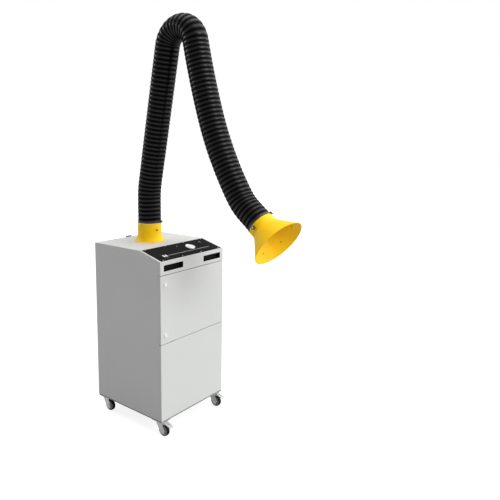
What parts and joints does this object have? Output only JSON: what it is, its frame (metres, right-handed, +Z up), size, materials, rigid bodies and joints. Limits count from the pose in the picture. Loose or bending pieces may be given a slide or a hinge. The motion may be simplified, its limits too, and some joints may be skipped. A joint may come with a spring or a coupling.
{
  "type": "mobile fume extractor",
  "caption": "Mobile welding fume extractor: sheet metal cabinet on casters with a jointed arm in a ribbed hose and a yellow bell hood.",
  "frame": {"origin": "on the floor under the middle of the cabinet", "axes": "+Z up, the door and control panel towards -Y, +X to the right seen from the front"},
  "size_m": [0.6076, 1.398, 2.5798],
  "materials": {
    "cabinet_paint": "satin",
    "pan_paint": "satin",
    "panel_black": "satin",
    "shell_black": "matt",
    "yellow_paint": "gloss",
    "hose_black": "satin",
    "zinc": "satin",
    "dark_metal": "satin",
    "white_plastic": "gloss",
    "grey_plastic": "satin",
    "black_plastic": "satin",
    "wheel_rubber": "matt",
    "filter_media": "matt",
    "motor_grey": "satin"
  },
  "bodies": {
    "cabinet": {"base_pan": "pan_paint", "left_side_panel": "cabinet_paint", "right_side_panel": "cabinet_paint", "back_panel": "cabinet_paint", "top_cover": "cabinet_paint", "lower_front_panel": "cabinet_paint", "divider_shelf": "cabinet_paint", "hinge_posts": "cabinet_paint", "filter_cassette": "filter_media", "fan_housing": "zinc", "fan_motor": "motor_grey", "control_plate": "panel_black", "panel_screws": "zinc", "pressure_gauge": "white_plastic", "switch_block": "grey_plastic", "indicator_lamp": "grey_plastic", "grip_shell_left": "shell_black", "grip_shell_right": "shell_black", "cable_hook": "dark_metal", "mains_inlet": "black_plastic", "inlet_collar": "yellow_paint", "collar_screws": "zinc", "caster_plates": "zinc"},
    "door": {"upper_door": "cabinet_paint", "hinge_leaves": "cabinet_paint"},
    "upper_lock": {"lock_upper": "zinc"},
    "lower_lock": {"lock_lower": "zinc"},
    "impeller": {"fan_impeller": "zinc"},
    "needle": {"gauge_needle": "black_plastic"},
    "start": {"start_button": "grey_plastic"},
    "stop": {"stop_button": "grey_plastic"},
    "knob": {"speed_knob": "black_plastic"},
    "thumb_screw": {"swivel_lock_screw": "dark_metal"},
    "turntable": {"swivel_spigot": "zinc", "shoulder_bracket": "zinc", "shoulder_pin": "zinc", "lower_hose_clamp": "dark_metal", "hose_shoulder_bend": "hose_black"},
    "lower_arm": {"lower_arm": "dark_metal", "elbow_pin": "zinc", "hose_lower_leg": "hose_black", "hose_elbow_bend": "hose_black"},
    "forearm": {"forearm": "dark_metal", "wrist_pin": "zinc", "hose_forearm_leg": "hose_black"},
    "hood": {"hood_link": "dark_metal", "hood_bell": "yellow_paint", "hood_fasteners": "dark_metal", "hood_clamp": "dark_metal", "hose_wrist_bend": "hose_black"},
    "fork_front_left": {"caster_fork_front_left": "zinc"},
    "wheel_front_left": {"caster_wheel_front_left": "wheel_rubber"},
    "brake_front_left": {"brake_pedal_front_left": "zinc"},
    "fork_front_right": {"caster_fork_front_right": "zinc"},
    "wheel_front_right": {"caster_wheel_front_right": "wheel_rubber"},
    "brake_front_right": {"brake_pedal_front_right": "zinc"},
    "fork_rear_left": {"caster_fork_rear_left": "zinc"},
    "wheel_rear_left": {"caster_wheel_rear_left": "wheel_rubber"},
    "fork_rear_right": {"caster_fork_rear_right": "zinc"},
    "wheel_rear_right": {"caster_wheel_rear_right": "wheel_rubber"}
  },
  "joints": [
    {"name": "door_hinge", "type": "hinge", "parent": "cabinet", "child": "door", "pos_m": [0.304, -0.29, 0.817], "axis": [0, 0, 1], "range_deg": [0, 110]},
    {"name": "upper_lock_turn", "type": "hinge", "parent": "door", "child": "upper_lock", "pos_m": [-0.26, -0.3, 0.976], "axis": [0, -1, 0], "range_deg": [0, 90]},
    {"name": "lower_lock_turn", "type": "hinge", "parent": "door", "child": "lower_lock", "pos_m": [-0.26, -0.3, 0.658], "axis": [0, -1, 0], "range_deg": [0, 90]},
    {"name": "fan_spin", "type": "hinge", "parent": "cabinet", "child": "impeller", "pos_m": [0, 0, 0.5], "axis": [0, 0, 1], "continuous": true},
    {"name": "gauge_reading", "type": "hinge", "parent": "cabinet", "child": "needle", "pos_m": [0.077, -0.20525, 1.14636], "axis": [0, 0.2617, -0.9651], "range_deg": [0, 240], "stiffness_Nm_per_rad": 0.001},
    {"name": "start_press", "type": "slide", "parent": "cabinet", "child": "start", "axis": [0, 0.2617, -0.9651], "range_m": [0, 0.0025], "stiffness_N_per_m": 300},
    {"name": "stop_press", "type": "slide", "parent": "cabinet", "child": "stop", "axis": [0, 0.2617, -0.9651], "range_m": [0, 0.0025], "stiffness_N_per_m": 300},
    {"name": "speed_turn", "type": "hinge", "parent": "cabinet", "child": "knob", "pos_m": [0.192, -0.18537, 1.1533], "axis": [0, 0.2617, -0.9651], "range_deg": [-135, 135]},
    {"name": "thumb_screw_turn", "type": "hinge", "parent": "cabinet", "child": "thumb_screw", "pos_m": [-0.0132, 0.0111, 1.243], "axis": [-0.165, -0.9863, 0], "continuous": true},
    {"name": "arm_swivel", "type": "hinge", "parent": "cabinet", "child": "turntable", "pos_m": [0, 0.09, 1.284], "axis": [0, 0, 1], "range_deg": [-180, 180]},
    {"name": "shoulder_tilt", "type": "hinge", "parent": "turntable", "child": "lower_arm", "pos_m": [0, 0.09, 1.50251], "axis": [0.9976, -0.0698, 0], "range_deg": [-15, 40], "deforming": ["hose_shoulder_bend"]},
    {"name": "elbow_bend", "type": "hinge", "parent": "lower_arm", "child": "forearm", "pos_m": [-0.02155, -0.21815, 2.48731], "axis": [-0.9976, 0.0698, 0], "range_deg": [-5, 100], "deforming": ["hose_elbow_bend"]},
    {"name": "hood_tilt", "type": "hinge", "parent": "forearm", "child": "hood", "pos_m": [-0.05658, -0.71916, 1.47131], "axis": [0.9976, -0.0698, 0], "range_deg": [-45, 50], "deforming": ["hose_wrist_bend"]},
    {"name": "swivel_front_left", "type": "hinge", "parent": "cabinet", "child": "fork_front_left", "pos_m": [-0.26, -0.255, 0.088], "axis": [0, 0, 1], "continuous": true},
    {"name": "roll_front_left", "type": "hinge", "parent": "fork_front_left", "child": "wheel_front_left", "pos_m": [-0.26, -0.283, 0.0375], "axis": [1, 0, 0], "continuous": true},
    {"name": "brake_press_front_left", "type": "hinge", "parent": "fork_front_left", "child": "brake_front_left", "pos_m": [-0.26, -0.2705, 0.081], "axis": [1, 0, 0], "range_deg": [0, 8]},
    {"name": "swivel_front_right", "type": "hinge", "parent": "cabinet", "child": "fork_front_right", "pos_m": [0.26, -0.255, 0.088], "axis": [0, 0, 1], "continuous": true},
    {"name": "roll_front_right", "type": "hinge", "parent": "fork_front_right", "child": "wheel_front_right", "pos_m": [0.26, -0.283, 0.0375], "axis": [1, 0, 0], "continuous": true},
    {"name": "brake_press_front_right", "type": "hinge", "parent": "fork_front_right", "child": "brake_front_right", "pos_m": [0.26, -0.2705, 0.081], "axis": [1, 0, 0], "range_deg": [0, 8]},
    {"name": "swivel_rear_left", "type": "hinge", "parent": "cabinet", "child": "fork_rear_left", "pos_m": [-0.26, 0.255, 0.088], "axis": [0, 0, 1], "continuous": true},
    {"name": "roll_rear_left", "type": "hinge", "parent": "fork_rear_left", "child": "wheel_rear_left", "pos_m": [-0.26, 0.227, 0.0375], "axis": [1, 0, 0], "continuous": true},
    {"name": "swivel_rear_right", "type": "hinge", "parent": "cabinet", "child": "fork_rear_right", "pos_m": [0.26, 0.255, 0.088], "axis": [0, 0, 1], "continuous": true},
    {"name": "roll_rear_right", "type": "hinge", "parent": "fork_rear_right", "child": "wheel_rear_right", "pos_m": [0.26, 0.227, 0.0375], "axis": [1, 0, 0], "continuous": true}
  ]
}
